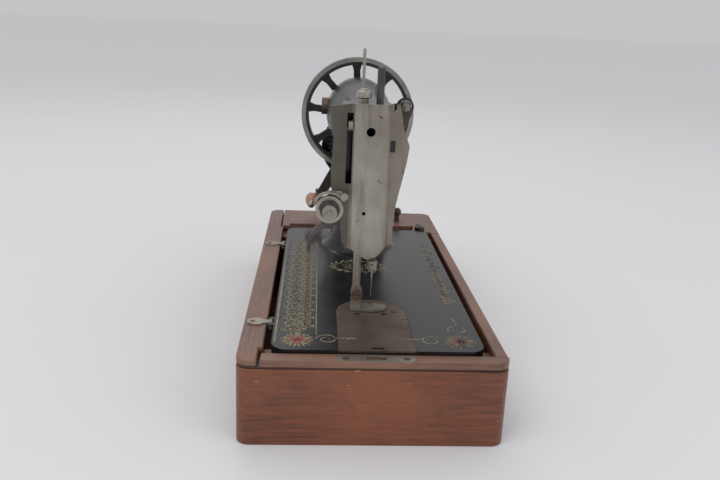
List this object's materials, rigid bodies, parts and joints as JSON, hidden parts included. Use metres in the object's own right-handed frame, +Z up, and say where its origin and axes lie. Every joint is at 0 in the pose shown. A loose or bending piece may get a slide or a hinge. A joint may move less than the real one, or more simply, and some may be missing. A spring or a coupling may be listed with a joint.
{
  "type": "hand-crank sewing machine in hinged cover-box base",
  "caption": "Antique hand-crank sewing machine hinged in the wooden base of its cover box, with tilting head, folding crank and lidded accessory compartment.",
  "frame": {"origin": "centre of the base's underside", "axes": "+X along the bed from the needle end to the handwheel end, +Y to the rear where the head's hinges are, +Z up"},
  "size_m": [0.49, 0.226, 0.316],
  "materials": {
    "mahogany": "worn varnish",
    "dark_wood": "dark stained bead",
    "pale_wood": "turned, worn varnish",
    "japanned_iron": "glossy black japan with worn gilt border",
    "nickel": "worn nickel plate with tarnish",
    "dark_steel": "oiled dark steel",
    "tarnished_steel": "brown tarnished steel",
    "bright_steel": "bright steel",
    "brass": "dull brass",
    "rubber": "old rubber"
  },
  "bodies": {
    "base": {"near_end_board": "mahogany", "far_end_board": "mahogany", "front_board": "mahogany", "rear_board": "mahogany", "bottom_board": "mahogany", "edge_bead": "dark_wood", "rear_rail": "mahogany", "near_rail": "mahogany", "front_rail": "mahogany", "far_rail": "mahogany", "far_board": "mahogany", "compartment_tray": "mahogany", "rest_blocks": "mahogany", "lock_plate": "nickel", "base_screws": "tarnished_steel", "hinge_plates": "nickel", "base_pins": "brass"},
    "compartment_lid": {"compartment_lid": "mahogany", "lid_knob": "dark_wood"},
    "bed_latch": {"bed_latch": "dark_steel"},
    "machine_head": {"bed": "japanned_iron", "hinge_pins": "bright_steel", "needle_plate": "tarnished_steel", "head_screws": "tarnished_steel", "shuttle_race": "dark_steel", "bobbin_case": "bright_steel", "arm_casting": "japanned_iron", "faceplate": "nickel", "tension_bracket": "nickel", "tension_discs": "nickel", "tension_spring": "dark_steel", "spool_pin": "nickel", "gear_case": "japanned_iron", "winder_bracket": "dark_steel"},
    "slide_plate": {"slide_plate": "tarnished_steel"},
    "feed_dog": {"feed_dog": "bright_steel"},
    "feed_rocker": {"feed_shaft": "dark_steel"},
    "shuttle": {"shuttle_hook": "bright_steel", "hook_shaft": "dark_steel"},
    "take_up": {"take_up_lever": "nickel"},
    "needle_bar": {"needle_bar": "dark_steel", "needle_clamp": "nickel", "needle": "bright_steel"},
    "presser_bar": {"presser_bar": "nickel", "presser_foot": "nickel", "foot_screw": "tarnished_steel"},
    "presser_lifter": {"presser_lifter": "dark_steel"},
    "tension_nut": {"tension_nut": "nickel"},
    "pressure_nut": {"pressure_nut": "tarnished_steel"},
    "handwheel": {"handwheel": "japanned_iron", "main_shaft": "dark_steel", "drive_pinion": "dark_steel"},
    "clutch_knob": {"clutch_knob": "nickel"},
    "crank": {"crank_gear": "dark_steel", "crank_arm": "dark_steel"},
    "crank_lug": {"handle_lug": "dark_steel"},
    "crank_handle": {"crank_handle": "pale_wood"},
    "winder_arm": {"winder_arm": "dark_steel"},
    "winder_spindle": {"winder_spindle": "nickel", "winder_tyre": "rubber"}
  },
  "joints": [
    {"name": "head_tilt", "type": "hinge", "parent": "base", "child": "machine_head", "pos_m": [0, 0.0888, 0.0755], "axis": [-1, 0, 0], "range_deg": [0, 90]},
    {"name": "lid_hinge", "type": "hinge", "parent": "base", "child": "compartment_lid", "pos_m": [0.2285, -0.034, 0.076], "axis": [0, 1, 0], "range_deg": [0, 90]},
    {"name": "latch_turn", "type": "hinge", "parent": "base", "child": "bed_latch", "pos_m": [0.151, -0.088, 0.0773], "axis": [0, 0, 1], "range_deg": [0, 180]},
    {"name": "slide_plate_slide", "type": "slide", "parent": "machine_head", "child": "slide_plate", "axis": [-1, 0, 0], "range_m": [0, 0.06]},
    {"name": "feed_rock", "type": "hinge", "parent": "machine_head", "child": "feed_rocker", "pos_m": [-0.011, 0.038, 0.061], "axis": [1, 0, 0], "range_deg": [-4, 4]},
    {"name": "feed_slide", "type": "slide", "parent": "machine_head", "child": "feed_dog", "axis": [0, 1, 0], "range_m": [-0.0016, 0.0016]},
    {"name": "shuttle_rock", "type": "hinge", "parent": "machine_head", "child": "shuttle", "pos_m": [-0.149, -0.021, 0.055], "axis": [1, 0, 0], "range_deg": [-100, 100]},
    {"name": "take_up_slide", "type": "slide", "parent": "machine_head", "child": "take_up", "axis": [0, 0, 1], "range_m": [-0.04, 0.004]},
    {"name": "needle_bar_slide", "type": "slide", "parent": "machine_head", "child": "needle_bar", "axis": [0, 0, 1], "range_m": [-0.029, 0]},
    {"name": "presser_lift", "type": "hinge", "parent": "machine_head", "child": "presser_lifter", "pos_m": [-0.13925, 0.024, 0.167], "axis": [1, 0, 0], "range_deg": [0, 60]},
    {"name": "presser_bar_slide", "type": "slide", "parent": "machine_head", "child": "presser_bar", "axis": [0, 0, 1], "range_m": [0, 0.00597]},
    {"name": "tension_nut_turn", "type": "hinge", "parent": "machine_head", "child": "tension_nut", "pos_m": [-0.1655, 0.039, 0.18], "axis": [1, 0, 0], "range_deg": [-180, 180]},
    {"name": "pressure_nut_turn", "type": "hinge", "parent": "machine_head", "child": "pressure_nut", "pos_m": [-0.131, 0.011, 0.278], "axis": [0, 0, 1], "range_deg": [-180, 180]},
    {"name": "handwheel_spin", "type": "hinge", "parent": "machine_head", "child": "handwheel", "pos_m": [0.146, 0.001, 0.2285], "axis": [-1, 0, 0], "continuous": true},
    {"name": "clutch_turn", "type": "hinge", "parent": "handwheel", "child": "clutch_knob", "pos_m": [0.16, 0.001, 0.2285], "axis": [1, 0, 0], "range_deg": [-90, 0]},
    {"name": "crank_spin", "type": "hinge", "parent": "machine_head", "child": "crank", "pos_m": [0.18, 0.001, 0.1835], "axis": [-1, 0, 0], "continuous": true},
    {"name": "handle_fold", "type": "hinge", "parent": "crank", "child": "crank_lug", "pos_m": [0.207, 0.04613, 0.10749], "axis": [0, 0, -1], "range_deg": [0, 180]},
    {"name": "handle_spin", "type": "hinge", "parent": "crank_lug", "child": "crank_handle", "pos_m": [0.184, 0.05613, 0.10749], "axis": [1, 0, 0], "continuous": true},
    {"name": "winder_swing", "type": "hinge", "parent": "machine_head", "child": "winder_arm", "pos_m": [0.116, -0.05, 0.217], "axis": [1, 0, 0], "range_deg": [-8, 8]},
    {"name": "winder_spin", "type": "hinge", "parent": "winder_arm", "child": "winder_spindle", "pos_m": [0.124, -0.056, 0.243], "axis": [1, 0, 0], "continuous": true}
  ],
  "couplings": [
    {"joint": "crank_spin", "follows": "handwheel_spin", "ratio": -0.33333},
    {"joint": "presser_lift", "follows": "presser_bar_slide", "rad_per_m": 175.44},
    {"joint": "feed_slide", "follows": "feed_rock", "m_per_rad": 0.0215}
  ]
}
